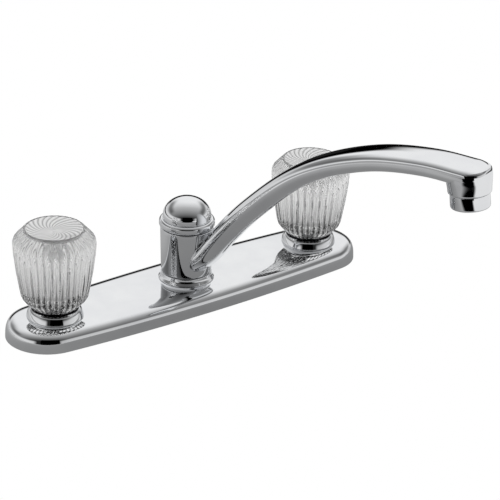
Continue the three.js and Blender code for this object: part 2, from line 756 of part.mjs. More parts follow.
// Aerator: threaded housing, sealing washer, flow insert and screen, from the outside in.
function addAerator() {
  const { radius, skirt, chamfer, wall, lip, lipReach, washerReach, flange, insertHole } = aerator;
  const outer = threadRadius - threadGap;
  const inner = outer - wall;
  const insertRadius = inner - fitGap;
  const waist = insertRadius - aerator.insertStep;
  const washerTop = outlet.threadDepth - fitGap;
  const washerLow = washerTop - aerator.washer;
  const threadTop = washerLow - fitGap;
  const lipTop = lip - skirt;
  const screenLow = lipTop + fitGap;
  const insertLow = screenLow + aerator.screen + fitGap;
  const housing = turned([
    [inner - lipReach, -skirt], [radius - chamfer, -skirt], [radius, chamfer - skirt], [radius, -fitGap],
    [outer, -fitGap], [outer, threadTop], [open(inner, roundSides), threadTop],
    [open(inner, roundSides), lipTop], [inner - lipReach, lipTop], [inner - lipReach, -skirt],
  ]);
  const insert = turned([
    [insertHole, insertLow], [waist, insertLow], [waist, threadTop - flange],
    [insertRadius, threadTop - flange], [insertRadius, threadTop], [insertHole, threadTop],
    [insertHole, insertLow],
  ], hiddenSides);
  const rubber = washerShape(inner - washerReach, outer, washerLow, washerTop);
  const screen = turned(disc(insertRadius, screenLow, screenLow + aerator.screen), hiddenSides);
  add('aerator_housing', atOutlet(housing), chrome, spout);
  add('aerator_washer', atOutlet(rubber), blackRubber, spout);
  add('aerator_insert', atOutlet(insert), whitePlastic, spout);
  add('aerator_screen', atOutlet(screen), steel, spout);
}
addAerator();

export default faucet;
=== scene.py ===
import json
import math

import bpy
import numpy as np
from mathutils import Matrix, Vector
from mathutils.geometry import delaunay_2d_cdt


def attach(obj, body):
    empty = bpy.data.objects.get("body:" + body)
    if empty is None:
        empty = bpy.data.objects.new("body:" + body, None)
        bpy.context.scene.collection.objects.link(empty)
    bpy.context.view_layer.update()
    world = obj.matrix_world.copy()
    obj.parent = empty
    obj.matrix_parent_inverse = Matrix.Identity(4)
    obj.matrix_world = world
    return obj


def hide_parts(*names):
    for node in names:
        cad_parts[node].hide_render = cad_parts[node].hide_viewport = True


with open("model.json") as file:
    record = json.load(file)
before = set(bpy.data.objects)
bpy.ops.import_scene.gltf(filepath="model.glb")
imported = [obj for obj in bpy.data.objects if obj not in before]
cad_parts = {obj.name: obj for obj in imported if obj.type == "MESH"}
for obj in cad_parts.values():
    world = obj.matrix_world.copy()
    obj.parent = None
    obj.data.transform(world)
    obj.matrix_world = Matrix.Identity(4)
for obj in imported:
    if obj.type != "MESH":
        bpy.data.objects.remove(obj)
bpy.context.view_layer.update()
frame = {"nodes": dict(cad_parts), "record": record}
mm = 0.001      # shapes are worked out in millimetres and degrees, and their meshes are in metres


# The camera, from a fit to the photograph: it looks down at the faucet from the front left.
view = {
    "turn": 37.448,         # degrees round from the front
    "tilt": 25.0,           # degrees down
    "roll": 1.587,          # degrees about the line of sight
    "distance": 1.56444,    # metres along the line of sight to the faucet's origin
    "sideways": -0.04142,   # metres from that line to the origin, to the right
    "upwards": -0.02978,    # and upwards
    "lens": 171.096,        # millimetres, on a sensor of the width below
    "sensorWidth": 36,
    "nearest": 0.05,        # metres
    "bounces": 24,          # enough for light to pass through the clear knobs
}


# Sight, right and up are unit vectors from the turn and the tilt, and the roll turns the last two about the first.
def addCamera():
    turn, tilt, roll = (math.radians(view[key]) for key in ("turn", "tilt", "roll"))
    sight = Vector((math.sin(turn) * math.cos(tilt), math.cos(turn) * math.cos(tilt), -math.sin(tilt)))
    right = Vector((math.cos(turn), -math.sin(turn), 0))
    up = Vector((math.sin(turn) * math.sin(tilt), math.cos(turn) * math.sin(tilt), math.cos(tilt)))
    place = -view["distance"] * sight - view["sideways"] * right - view["upwards"] * up
    across = math.cos(roll) * right + math.sin(roll) * up
    upright = math.cos(roll) * up - math.sin(roll) * right
    camera = bpy.data.objects.new("camera", bpy.data.cameras.new("camera"))
    camera.matrix_world = Matrix.LocRotScale(place, Matrix((across, upright, -sight)).transposed(), None)
    camera.data.lens = view["lens"]
    camera.data.sensor_width = view["sensorWidth"]
    camera.data.clip_start = view["nearest"]
    bpy.context.scene.collection.objects.link(camera)
    bpy.context.scene.camera = camera


addCamera()
bpy.context.scene.view_settings.view_transform = "Standard"
bpy.context.scene.cycles.transmission_bounces = view["bounces"]
bpy.context.scene.cycles.max_bounces = view["bounces"]
print("camera placed")


# One shader node. Its fields are set by name, and each input is linked to a socket or set to a value.
def addNode(tree, kind, inputs=None, **fields):
    node = tree.nodes.new("ShaderNode" + kind)
    for key, value in fields.items():
        setattr(node, key, value)
    for key, value in (inputs or {}).items():
        if isinstance(value, bpy.types.NodeSocket):
            tree.links.new(value, node.inputs[key])
        else:
            node.inputs[key].default_value = value
    return node


# A ramp through grey levels or colours, given as (place, value) pairs.
def addRamp(tree, factor, stops):
    ramp = addNode(tree, "ValToRGB", {"Fac": factor})
    elements = ramp.color_ramp.elements
    while len(elements) < len(stops):
        elements.new(0.5)
    for element, (place, value) in zip(elements, stops):
        element.position = place
        element.color = (*value, 1) if isinstance(value, tuple) else (value, value, value, 1)
    return ramp.outputs["Color"]


# Object coordinates in metres, scaled and turned.
def patternPlace(tree, scale=(1, 1, 1), turn=(0, 0, 0)):
    place = addNode(tree, "TexCoord").outputs["Object"]
    return addNode(tree, "Mapping", {"Vector": place, "Scale": scale, "Rotation": turn}).outputs["Vector"]


noiseRange = (0.3, 0.7)     # nearly all noise values lie between these
broadRatio = 6              # how much coarser the colour noise is than the grain


# Two colours mixed by broad noise, a roughness that wanders between two values with the finer grain, and a small
# bump from the same grain. Where a mesh value is named, the colour follows it through the listed shades instead.
def makeFinish(name, roughness, grain, bump, colors=None, meshValue=None, shades=None, metal=0.0,
               stretch=(1, 1, 1), **sockets):
    material = bpy.data.materials.new(name)
    material.use_nodes = True
    tree = material.node_tree
    shader = tree.nodes["Principled BSDF"]
    place = patternPlace(tree, stretch)
    if meshValue:
        guide = addNode(tree, "Attribute", attribute_name=meshValue).outputs["Fac"]
    else:
        broad = {"Vector": place, "Scale": grain / broadRatio, "Detail": 3.0}
        guide = addNode(tree, "TexNoise", broad).outputs["Fac"]
        shades = list(zip(noiseRange, colors))
    tree.links.new(addRamp(tree, guide, shades), shader.inputs["Base Color"])
    fine = addNode(tree, "TexNoise", {"Vector": place, "Scale": grain, "Detail": 4.0}).outputs["Fac"]
    spread = addNode(tree, "MapRange", {"Value": fine, "From Min": noiseRange[0], "From Max": noiseRange[1],
                                        "To Min": roughness[0], "To Max": roughness[1]})
    tree.links.new(spread.outputs["Result"], shader.inputs["Roughness"])
    relief = addNode(tree, "Bump", {"Height": fine, "Strength": bump[0], "Distance": bump[1]})
    tree.links.new(relief.outputs["Normal"], shader.inputs["Normal"])
    shader.inputs["Metallic"].default_value = metal
    for key, value in sockets.items():
        shader.inputs[key.replace("_", " ")].default_value = value
    return material


# Grain is the noise scale, and bump is its strength and its height in metres. Stretch multiplies the noise scale along
# X, Y and Z: brass has rings round Z from turning, and copper has streaks along X from drawing.
finishSettings = {
    "chrome": {"name": "polished chrome", "colors": ((0.80, 0.81, 0.83), (0.86, 0.87, 0.88)),
               "roughness": (0.03, 0.06), "grain": 300, "bump": (0.02, 0.00002), "metal": 1.0},
    "brass": {"name": "turned brass", "colors": ((0.60, 0.44, 0.20), (0.70, 0.53, 0.27)),
              "roughness": (0.22, 0.4), "grain": 1500, "bump": (0.15, 0.00005), "metal": 1.0, "stretch": (1, 1, 8)},
    "copper": {"name": "drawn copper", "colors": ((0.55, 0.24, 0.13), (0.68, 0.33, 0.19)),
               "roughness": (0.25, 0.45), "grain": 900, "bump": (0.1, 0.00005), "metal": 1.0, "stretch": (0.1, 1, 1)},
    "stainless_steel": {"name": "brushed steel", "colors": ((0.42, 0.42, 0.43), (0.52, 0.52, 0.53)),
                        "roughness": (0.2, 0.38), "grain": 2500, "bump": (0.1, 0.00003), "metal": 1.0},
    "black_rubber": {"name": "black rubber", "colors": ((0.012, 0.012, 0.013), (0.022, 0.022, 0.023)),
                     "roughness": (0.6, 0.85), "grain": 1200, "bump": (0.3, 0.0001)},
    "white_plastic": {"name": "white plastic", "colors": ((0.74, 0.73, 0.69), (0.80, 0.79, 0.75)),
                      "roughness": (0.35, 0.5), "grain": 900, "bump": (0.08, 0.00005)},
    "grey_plastic": {"name": "grey plastic", "colors": ((0.26, 0.28, 0.30), (0.32, 0.34, 0.36)),
                     "roughness": (0.4, 0.6), "grain": 900, "bump": (0.12, 0.00008)},
    "clear_acrylic": {"name": "clear acrylic", "colors": ((0.93, 0.94, 0.95), (0.97, 0.975, 0.98)),
                      "roughness": (0.01, 0.04), "grain": 500, "bump": (0.05, 0.00003),
                      "Transmission_Weight": 0.9, "IOR": 1.49},
    # the bonnet's neck, painted dark as the knob's shadow on it
    "chrome with painted neck shade": {"name": "chrome with painted neck shade", "colors": ((0.05, 0.05, 0.055), (0.08, 0.08, 0.085)),
                    "roughness": (0.08, 0.14), "grain": 300, "bump": (0.02, 0.00002), "metal": 1.0},
    # the knob, with painted shade darkening its grooves
    "fluted acrylic with painted groove shade": {"name": "fluted acrylic with painted groove shade", "meshValue": "paintedGrooveShade",
                       "shades": [(0.0, 1.0), (0.25, 0.86), (0.6, 0.3), (1.0, 0.0)],
                       "roughness": (0.01, 0.04), "grain": 500, "bump": (0.05, 0.00003),
                       "Transmission_Weight": 0.9, "IOR": 1.49},
    # the cap, milky all over, with painted highlight on its ridges and painted shade between them
    "swirled acrylic with painted ridge light": {"name": "swirled acrylic with painted ridge light", "meshValue": "ridge",
                        "shades": [(0.0, 0.42), (0.5, 0.8), (0.85, 1.0)],
                        "roughness": (0.05, 0.12), "grain": 500, "bump": (0.05, 0.00003),
                        "Transmission_Weight": 0.35, "IOR": 1.49},
}
finishes = {key: makeFinish(**settings) for key, settings in finishSettings.items()}
for part in frame["record"]["subparts"]:
    mesh = frame["nodes"][part["node"]].data
    mesh.materials.clear()
    mesh.materials.append(finishes[part["material_slot"]])


# Points in millimetres and faces become a smooth mesh whose edges above the sharp angle stay crisp.
def finishPiece(name, points, faces, body, slot, nodes, sharp=35, finish=None):
    mesh = bpy.data.meshes.new(name)
    mesh.from_pydata((np.asarray(points) * mm).tolist(), [], faces)
    mesh.shade_smooth()
    mesh.set_sharp_from_angle(angle=math.radians(sharp))
    mesh.materials.append(finishes[finish or slot])
    piece = bpy.data.objects.new(name, mesh)
    bpy.context.scene.collection.objects.link(piece)
    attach(piece, body)
    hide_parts(*nodes)
    return piece


# A value at each point of a piece, for its finish to read.
def addMeshValue(piece, name, values):
    piece.data.attributes.new(name, "FLOAT", "POINT").data.foreach_set("value", values)


# Four-sided faces between neighbouring rows, with the columns closed round, and the rows too if loop is set.
def ringFaces(rows, columns, loop=False):
    row = np.arange(rows if loop else rows - 1)[:, None]
    column = np.arange(columns)[None, :]
    above, beside = (row + 1) % rows, (column + 1) % columns
    corners = (row * columns + column, row * columns + beside, above * columns + beside, above * columns + column)
    return np.stack(np.broadcast_arrays(*corners), -1).reshape(-1, 4).tolist()


# Three-sided faces from one row of points to a single pole.
def fanFaces(columns, start, pole, upwards):
    column = np.arange(columns)
    beside = (column + 1) % columns
    near, far = (column, beside) if upwards else (beside, column)
    return np.stack([start + near, start + far, np.full(columns, pole)], -1).tolist()


# Points and faces of a skin over rings of points. Without a loop, each end closes on the middle of its ring.
def shell(rings, loop=False):
    rows, columns, _ = rings.shape
    points = rings.reshape(-1, 3)
    faces = ringFaces(rows, columns, loop)
    if not loop:
        points = np.vstack([points, rings[0].mean(0), rings[-1].mean(0)])
        faces += fanFaces(columns, 0, rows * columns, False)
        faces += fanFaces(columns, (rows - 1) * columns, rows * columns + 1, True)
    return points, faces


# Several shells as one set of points and faces.
def together(*shells):
    points, faces, count = [], [], 0
    for part, sides in shells:
        points.append(part)
        faces += [[corner + count for corner in side] for side in sides]
        count += len(part)
    return np.vstack(points), faces


# A shell set off along X.
def moved(part, x):
    points, faces = part
    return points + np.array([x, 0, 0]), faces


longestCut = 0.45       # share of the shorter side that a cut may take
shortestStep = 1e-4     # millimetres between points that count as two


# Each corner is cut back along both its sides, and a quadratic curve bends from one cut to the other.
def softened(corners, cut, steps=6, closed=True):
    corners = np.asarray(corners, float)
    cut = np.broadcast_to(np.asarray(cut, float), len(corners))[:, None]
    back = np.roll(corners, 1, 0) - corners
    ahead = np.roll(corners, -1, 0) - corners
    backLength = np.linalg.norm(back, axis=1, keepdims=True)
    aheadLength = np.linalg.norm(ahead, axis=1, keepdims=True)
    reach = np.minimum(cut, longestCut * np.minimum(backLength, aheadLength))
    if not closed:
        reach[[0, -1]] = 0
    t = np.linspace(0, 1, steps + 1)[None, :, None]
    start, end = corners + back / backLength * reach, corners + ahead / aheadLength * reach
    curve = (1 - t) ** 2 * start[:, None] + 2 * t * (1 - t) * corners[:, None] + t ** 2 * end[:, None]
    curve = curve.reshape(-1, 2)
    keep = np.linalg.norm(curve - np.roll(curve, 1, 0), axis=1) > shortestStep
    keep[0] |= not closed
    return curve[keep]


# A running mean with raised-cosine weights. Past each end the values go on as their own mirror through that end.
def smoothed(values, width):
    weights = 1 + np.cos(np.linspace(-np.pi, np.pi, 2 * width + 1))
    weights /= weights.sum()
    before = 2 * values[:1] - values[width:0:-1]
    after = 2 * values[-1:] - values[-2:-width - 2:-1]
    extended = np.concatenate([before, values, after])
    return np.stack([np.convolve(column, weights, "valid") for column in extended.T], -1)


# Evenly spaced angles once round, without the last, which is the first again.
def onceRound(columns, offset=0.0):
    return 2 * np.pi * (np.arange(columns) + offset) / columns


# A profile of (radius, height) turned about the Z axis.
def turned(profile, columns=128):
    angle = onceRound(columns)
    radius, height = np.asarray(profile, float).T
    return np.stack([radius[:, None] * np.cos(angle), radius[:, None] * np.sin(angle),
                     height[:, None] + 0 * angle], -1)


handleX = 101.6     # from the middle to each handle's axis
deckTop = 13.0      # height of the plate's flat top

deckPlate = {
    "overhang": 5.4,        # from a handle's axis to the centre of the end's round
    "endRadius": 27.1, "halfWidth": 31.6, "height": deckTop, "wall": 1.6,
    "flatInset": 13.6,      # from the foot's outline in to the flat top
    "crownInset": 2.6,      # from here inwards the wall's thickness turns from sideways to downwards
    # how far the surface leans over, in degrees, at each distance up the skirt and over the edge
    "lean": [[0, 1], [3.4, 3], [5, 7], [6.3, 12.5], [8.2, 20], [10.2, 36], [12.4, 62], [15, 76], [19, 84], [23.5, 90]],
    "leanSteps": 480, "leanBlend": 24, "stepsPerRing": 10,
    "sideColumns": 96, "endColumns": 64,
    "holes": [(0.0, 13.3), (-handleX, 12.3), (handleX, 12.3)],      # place along X and radius
    "holeSides": 48,
}


# At each inset: two long arcs that bow outwards along the sides, and a smaller arc round each end. The long arcs have
# the radius that meets the end arcs without a corner.
def plateOutline(inset):
    endX = handleX + deckPlate["overhang"]
    inset = np.asarray(inset, float)[:, None]
    end, half = deckPlate["endRadius"] - inset, deckPlate["halfWidth"] - inset
    bow = (endX ** 2 + half ** 2 - end ** 2) / (2 * (half - end))
    tangent = np.arctan2(bow - half, endX)
    side = np.arange(deckPlate["sideColumns"]) / deckPlate["sideColumns"]
    tip = np.arange(deckPlate["endColumns"]) / deckPlate["endColumns"]
    sweep = tangent + side * (np.pi - 2 * tangent)
    back = np.stack([bow * np.cos(sweep), half - bow + bow * np.sin(sweep)], -1)
    sweep = np.pi - tangent + tip * 2 * tangent
    left = np.stack([end * np.cos(sweep) - endX, end * np.sin(sweep)], -1)
    return np.concatenate([back, left, -back, -left], 1)


# Flat rings, each lifted to its own height.
def lifted(rings, height):
    return np.concatenate([rings, np.broadcast_to(height[:, None, None], rings.shape[:2] + (1,))], -1)


# The lean adds up, step by step, to the profile: its cosine is the rise and its sine the inset. Rings of the outline
# follow it from the foot to the flat top, and the same rings, a wall further in and lower, make the inside.
def plateRings():
    plate = deckPlate
    table = np.array(plate["lean"], float)
    along = np.linspace(0, table[-1, 0], plate["leanSteps"])
    lean = np.radians(smoothed(np.interp(along, *table.T)[:, None], plate["leanBlend"])[:, 0])
    inset = np.concatenate([[0], np.cumsum(np.sin(lean[:-1]))])[::plate["stepsPerRing"]]
    height = np.concatenate([[0], np.cumsum(np.cos(lean[:-1]))])[::plate["stepsPerRing"]]
    inset, height = inset / inset[-1] * plate["flatInset"], height / height[-1] * plate["height"]
    crownShare = np.clip((inset - plate["crownInset"]) / (plate["flatInset"] - plate["crownInset"]), 0, 1)
    outside = lifted(plateOutline(inset), height)
    inside = lifted(plateOutline(inset + plate["wall"] * (1 - crownShare)), np.maximum(height - plate["wall"], 0))
    return np.concatenate([inside[::-1], outside])


# The skin's rings, closed by two flat faces of triangles between the last ring and the holes, one above the other, and
# a wall round each hole.
def deckPlateSurface():
    rings = plateRings()
    rows, columns, _ = rings.shape
    faces = ringFaces(rows, columns)
    holeSides = deckPlate["holeSides"]
    angle = onceRound(holeSides)
    circles = [np.stack([x + r * np.cos(angle), r * np.sin(angle)], -1) for x, r in deckPlate["holes"]]
    loops = [rings[-1, :, :2]] + circles
    starts = np.cumsum([0] + [len(loop) for loop in loops])
    edges = np.vstack([np.stack([np.arange(len(loop)), (np.arange(len(loop)) + 1) % len(loop)], -1) + start
                       for loop, start in zip(loops, starts)])
    flatPoints = [Vector(point) for point in np.vstack(loops).tolist()]
    found = delaunay_2d_cdt(flatPoints, edges.tolist(), [], 0, 1e-7, False)
    places, sides = np.array([tuple(place) for place in found[0]]), np.array(found[2])
    middle = places[sides].mean(1)
    inHole = np.zeros(len(sides), bool)
    for x, r in deckPlate["holes"]:
        inner = r * math.cos(np.pi / holeSides) * 0.999     # just inside the hole's flat sides
        inHole |= np.hypot(middle[:, 0] - x, middle[:, 1]) < inner
    sides = sides[~inHole]
    holePoints = np.vstack(circles)
    top = np.column_stack([holePoints, np.full(len(holePoints), deckPlate["height"])])
    bottom = top - [0, 0, deckPlate["wall"]]
    skin = rows * columns       # how many points the rings have
    topIndex = np.concatenate([skin - columns + np.arange(columns), skin + np.arange(len(top))])
    bottomIndex = np.concatenate([np.arange(columns), skin + len(top) + np.arange(len(top))])
    faces += topIndex[sides].tolist() + bottomIndex[sides][:, ::-1].tolist()
    for hole in range(len(circles)):
        here = skin + holeSides * hole + np.arange(holeSides)
        beside = skin + holeSides * hole + (np.arange(holeSides) + 1) % holeSides
        faces += np.stack([here, here + len(top), beside + len(top), beside], -1).tolist()
    return np.vstack([rings.reshape(-1, 3), top, bottom]), faces


finishPiece("dressed_plate", *deckPlateSurface(), "base", "chrome", ["deck_plate"], sharp=50)
print("deck plate")


# Corners are (radius, height), and each is cut back by the number in the same place.
footRing = {
    "node": "foot_ring",
    "corners": [[13.4, 13.0], [18.3, 13.0], [18.3, 13.45], [16.95, 15.6], [16.6, 17.7], [15.8, 17.9], [13.4, 17.9]],
    "cuts": [0.0, 0.2, 0.3, 0.9, 0.3, 0.1, 0.0],
}
spoutNut = {
    "node": "spout_nut",
    "corners": [[11.9, 49.5], [17.0, 49.5], [18.2, 50.7], [18.2, 53.8], [17.0, 55.0], [11.9, 55.0]],
    "cuts": [0.0, 0.7, 0.9, 0.9, 0.7, 0.0],
}
dome = {
    "spigotRadius": 9.2, "spigotFoot": 49.0,
    "foot": 55.0, "beadRadius": 16.1, "bead": 0.8,
    "radius": 15.75, "springing": 57.0, "rise": 12.3, "wall": 1.5,
    "cuts": [0, 0, 0, 0.2, 0.3, 0.1, 0], "crownSteps": 24,
}


# A spigot, a bead, a short upright wall and a quarter ellipse up to the crown, then the same crown one wall inside.
def domeSurface():
    quarter = np.linspace(0, np.pi / 2, dome["crownSteps"] + 1)[:-1]
    bore, beadTop, springing = dome["spigotRadius"] - dome["wall"], dome["foot"] + dome["bead"], dome["springing"]
    outside = softened([[bore, dome["spigotFoot"]], [dome["spigotRadius"], dome["spigotFoot"]],
                        [dome["spigotRadius"], dome["foot"]], [dome["beadRadius"], dome["foot"]],
                        [dome["beadRadius"], beadTop], [dome["radius"], beadTop], [dome["radius"], springing]],
                       dome["cuts"], closed=False)[:-1]
    crown = np.stack([dome["radius"] * np.cos(quarter), springing + dome["rise"] * np.sin(quarter)], -1)
    under = np.stack([bore * np.cos(quarter), springing + (dome["rise"] - dome["wall"]) * np.sin(quarter)], -1)
    return shell(turned(np.concatenate([under[::-1], outside, crown])))


for ring in (footRing, spoutNut):
    skin = shell(turned(softened(ring["corners"], ring["cuts"])), True)
    finishPiece("dressed_" + ring["node"], *skin, "base", "chrome", [ring["node"]])
finishPiece("dressed_dome", *domeSurface(), "base", "chrome", ["dome_cap"])
print("foot ring, nut and dome")


spout = {
    "swing": 20.0,          # degrees that the spout stands round from straight ahead
    "foot": 18.2, "length": 31.0, "bottomRadius": 16.6, "topRadius": 17.4, "bore": 13.3,
    "sleeveEdge": 0.6, "sleeveRows": 14,
    # the arch's middle line: reach from the sleeve's axis and height above its foot
    "line": [[7, 7.3], [16, 14.4], [30, 33], [50, 56.4], [90, 91.9], [135, 112.2], [175, 119.3], [202.9, 119.5]],
    "cubicSteps": 200, "lineSteps": 1200, "lineBlend": 50,
    # at each reach: width, height, and how square the section is above and below
    "section": [[7, 24.5, 15, 2.3, 2.3], [50, 25.8, 15, 2.5, 2.3], [100, 26.5, 13.8, 2.9, 2.4],
                [160, 27.2, 12.9, 3.5, 2.6], [218, 27, 12.7, 4.0, 2.8]],
    "sectionBlend": 80,
    "archColumns": 160, "archStations": 220,
    "crowding": 0.35, "crowdingPower": 2.2,     # how much closer the first stations stand
    "sunk": 1.2,            # how far inside the sleeve's wall the arch starts
    "searchShare": 0.25, "searchSteps": 600,    # how much of the arch is searched for that start
    "fillet": 0.7, "filletCap": 0.55,           # the flare at the sleeve, and the largest share of it
    "noseCorner": 11.4, "noseEdge": 2.2, "noseDroop": 0.8,
    "noseLean": 9.0,        # degrees that the nose leans back
    "noseSteps": 24, "bridgeSteps": 9,
    "noseClosing": [0.97, 0.9, 0.6, 0.3],       # sizes of the rings that close the nose
    "outletRadius": 13.3, "outletWall": 1.3, "outletDrop": 11.3, "outletTilt": 7.0,
    "outletColumns": 128, "outletRows": 40, "rimHeight": 0.5, "rimRound": 0.4,
    "threadDepth": 8.5, "wellStep": 4.0,
    # half the tower's width at heights above its rim, and where its plan turns from round to square
    "tower": [[0, 13.3], [8, 13.5], [11, 13.5], [13, 13.38], [14.5, 13.1], [15.2, 12.7]],
    "towerBlend": 3, "neck": 0.5, "blend": 13.0,
}
archEnd = np.array([0, -spout["line"][-1][0], spout["foot"] + spout["line"][-1][1]])


# A curve through the listed points: between two of them a cubic whose end slopes come from the neighbours, with the
# square root of each distance as its share of the parameter. It is then stepped evenly and eased.
def archCurve():
    listed = np.array(spout["line"], float)
    listed = np.vstack([2 * listed[0] - listed[1], listed, 2 * listed[-1] - listed[-2]])
    share = np.linalg.norm(np.diff(listed, axis=0), axis=1)[:, None] ** 0.5
    shareBefore, shareHere, shareAfter = share[:-2], share[1:-1], share[2:]
    before, start, end, after = listed[:-3], listed[1:-2], listed[2:-1], listed[3:]
    startSlope = ((start - before) / shareBefore - (end - before) / (shareBefore + shareHere)
                  + (end - start) / shareHere) * shareHere
    endSlope = ((end - start) / shareHere - (after - start) / (shareHere + shareAfter)
                + (after - end) / shareAfter) * shareHere
    t = np.linspace(0, 1, spout["cubicSteps"], endpoint=False)[None, :, None]
    cubic = ((2 * t ** 3 - 3 * t ** 2 + 1) * start[:, None] + (t ** 3 - 2 * t ** 2 + t) * startSlope[:, None]
             + (3 * t ** 2 - 2 * t ** 3) * end[:, None] + (t ** 3 - t ** 2) * endSlope[:, None])
    points = np.vstack([cubic.reshape(-1, 2), listed[-2]])
    along = np.concatenate([[0], np.cumsum(np.linalg.norm(np.diff(points, axis=0), axis=1))])
    even = np.linspace(0, along[-1], spout["lineSteps"])
    points = np.stack([np.interp(even, along, points[:, k]) for k in range(2)], -1)
    return smoothed(points, spout["lineBlend"])


# The middle line, its direction and the section's four values at even steps along the arch.
def archTables():
    line = archCurve()
    slope = np.gradient(line, axis=0)
    slope /= np.linalg.norm(slope, axis=1, keepdims=True)
    rows = np.array(spout["section"], float)
    section = np.stack([np.interp(line[:, 0], rows[:, 0], rows[:, k]) for k in range(1, 5)], -1)
    return line, slope, smoothed(section, spout["sectionBlend"])


archLine, archSlope, archRows = archTables()


# How far out the rounded square lies in the direction (cos, sin): (|cos|^n + |sin|^n)^(-1/n).
def superEllipse(angle, square):
    return (np.abs(np.cos(angle)) ** square + np.abs(np.sin(angle)) ** square) ** (-1 / square)


# The point at each share of the arch's length and each angle round its section, in the spout's own frame: the middle
# line's point, plus half the width sideways and half the height square to the line, times the rounded square.
def archPoints(share, angle):
    place = share * (len(archLine) - 1)
    steps = np.arange(len(archLine))
    look = lambda values: np.interp(place, steps, values)
    reach, rise = look(archLine[:, 0]), look(archLine[:, 1]) + spout["foot"]
    run, climb = look(archSlope[:, 0]), look(archSlope[:, 1])
    width, height, top, bottom = (look(archRows[:, k]) for k in range(4))
    out = superEllipse(angle, np.where(np.sin(angle) > 0, top, bottom))
    x = width / 2 * np.cos(angle) * out
    lift = height / 2 * np.sin(angle) * out
    return np.stack([x, -(reach - lift * climb), rise + lift * run], -1)


# The sleeve's radius grows evenly with height.
def sleeveRadius(z):
    share = (z - spout["foot"]) / spout["length"]
    return spout["bottomRadius"] + (spout["topRadius"] - spout["bottomRadius"]) * np.clip(share, 0, 1)


# Each line along the arch starts where it leaves the sleeve's wall, and near the wall the rings flare by a quarter
# round.
def archRings(angle):
    columns, stations, searched = len(angle), spout["archStations"], spout["searchSteps"]
    share = np.linspace(0, spout["searchShare"], searched)[:, None]
    trial = archPoints(np.broadcast_to(share, (searched, columns)), np.broadcast_to(angle, (searched, columns)))
    depth = np.hypot(trial[..., 0], trial[..., 1]) - sleeveRadius(trial[..., 2]) + spout["sunk"]
    start = share[np.argmax(depth > 0, axis=0), 0]
    step = np.linspace(0, 1, stations)[:, None]
    step = spout["crowding"] * step ** spout["crowdingPower"] + (1 - spout["crowding"]) * step
    share = start + (1 - start) * step
    rings = archPoints(share, np.broadcast_to(angle, (stations, columns)))
    right = archPoints(share, np.zeros((stations, columns)))
    left = archPoints(share, np.full((stations, columns), np.pi))
    outward = rings - (right + left) / 2
    outward /= np.linalg.norm(outward, axis=-1, keepdims=True)
    fillet = spout["fillet"]
    gap = np.clip((np.hypot(rings[..., 0], rings[..., 1]) - sleeveRadius(rings[..., 2])) / fillet, 0, 1)
    flare = fillet * (1 - np.sqrt(1 - (1 - gap) ** 2))
    return rings + outward * np.minimum(flare, spout["filletCap"] * fillet)[..., None]


# Past the outlet's middle the sides round in to the nose by a quarter turn: its sine is the way forward and one less
# its cosine the way in. The top droops, its front edge is rounded, and the whole nose leans back with its height.
def noseRings(angle):
    corner = spout["noseCorner"]
    noseReach = spout["outletRadius"] - spout["outletDrop"] * math.tan(math.radians(spout["outletTilt"]))
    swing = np.linspace(0, np.pi / 2, spout["noseSteps"] + 1)[1:, None]
    width, height, top, bottom = archRows[-1]
    out = superEllipse(angle, np.where(np.sin(angle) > 0, top, bottom))
    x = (width / 2 - corner * (1 - np.cos(swing))) * np.cos(angle) * out
    droop = spout["noseDroop"] * np.sin(swing)
    run, climb = archSlope[-1]
    forward = noseReach - corner + corner * np.sin(swing)
    over = np.clip((forward - noseReach) / spout["noseEdge"] + 1, 0, 1)
    edge = np.where(np.sin(angle) > 0, spout["noseEdge"] * (1 - np.sqrt(1 - over ** 2)), 0)
    lift = (height / 2 - droop - edge) * np.sin(angle) * out
    forward = forward - lift * math.tan(math.radians(spout["noseLean"])) * np.sin(swing)
    return np.stack([x, archEnd[1] - forward * run + lift * climb,
                     archEnd[2] + forward * climb - droop + lift * run], -1)


# The arch, a straight bridge to the nose, the nose, and smaller copies of its last ring that close it.
def archSurface():
    angle = onceRound(spout["archColumns"])
    rings, nose = archRings(angle), noseRings(angle)
    straight = np.linspace(0, 1, spout["bridgeSteps"] + 1)[1:-1, None, None]
    bridge = rings[-1] + (nose[0] - rings[-1]) * straight
    middle = nose[-1].mean(0)
    closing = middle + (nose[-1] - middle) * np.array(spout["noseClosing"])[:, None, None]
    return shell(np.concatenate([rings, bridge, nose, closing])[:, ::-1])


# Tips a shape made round +Z with its rim at zero, and sets it at the end of the spout.
def atOutlet(part):
    points, faces = part
    tilt = math.radians(-spout["outletTilt"])
    x, y, z = points.T
    return np.stack([x, y * math.cos(tilt) - z * math.sin(tilt) + archEnd[1],
                     y * math.sin(tilt) + z * math.cos(tilt) + archEnd[2] - spout["outletDrop"]], -1), faces


# Turns a shape in the spout's own frame to where the spout stands.
def swung(part):
    points, faces = part
    swing = math.radians(spout["swing"])
    c, s = math.cos(swing), math.sin(swing)
    x, y, z = points.T
    return np.stack([c * x - s * y, s * x + c * y, z], -1), faces


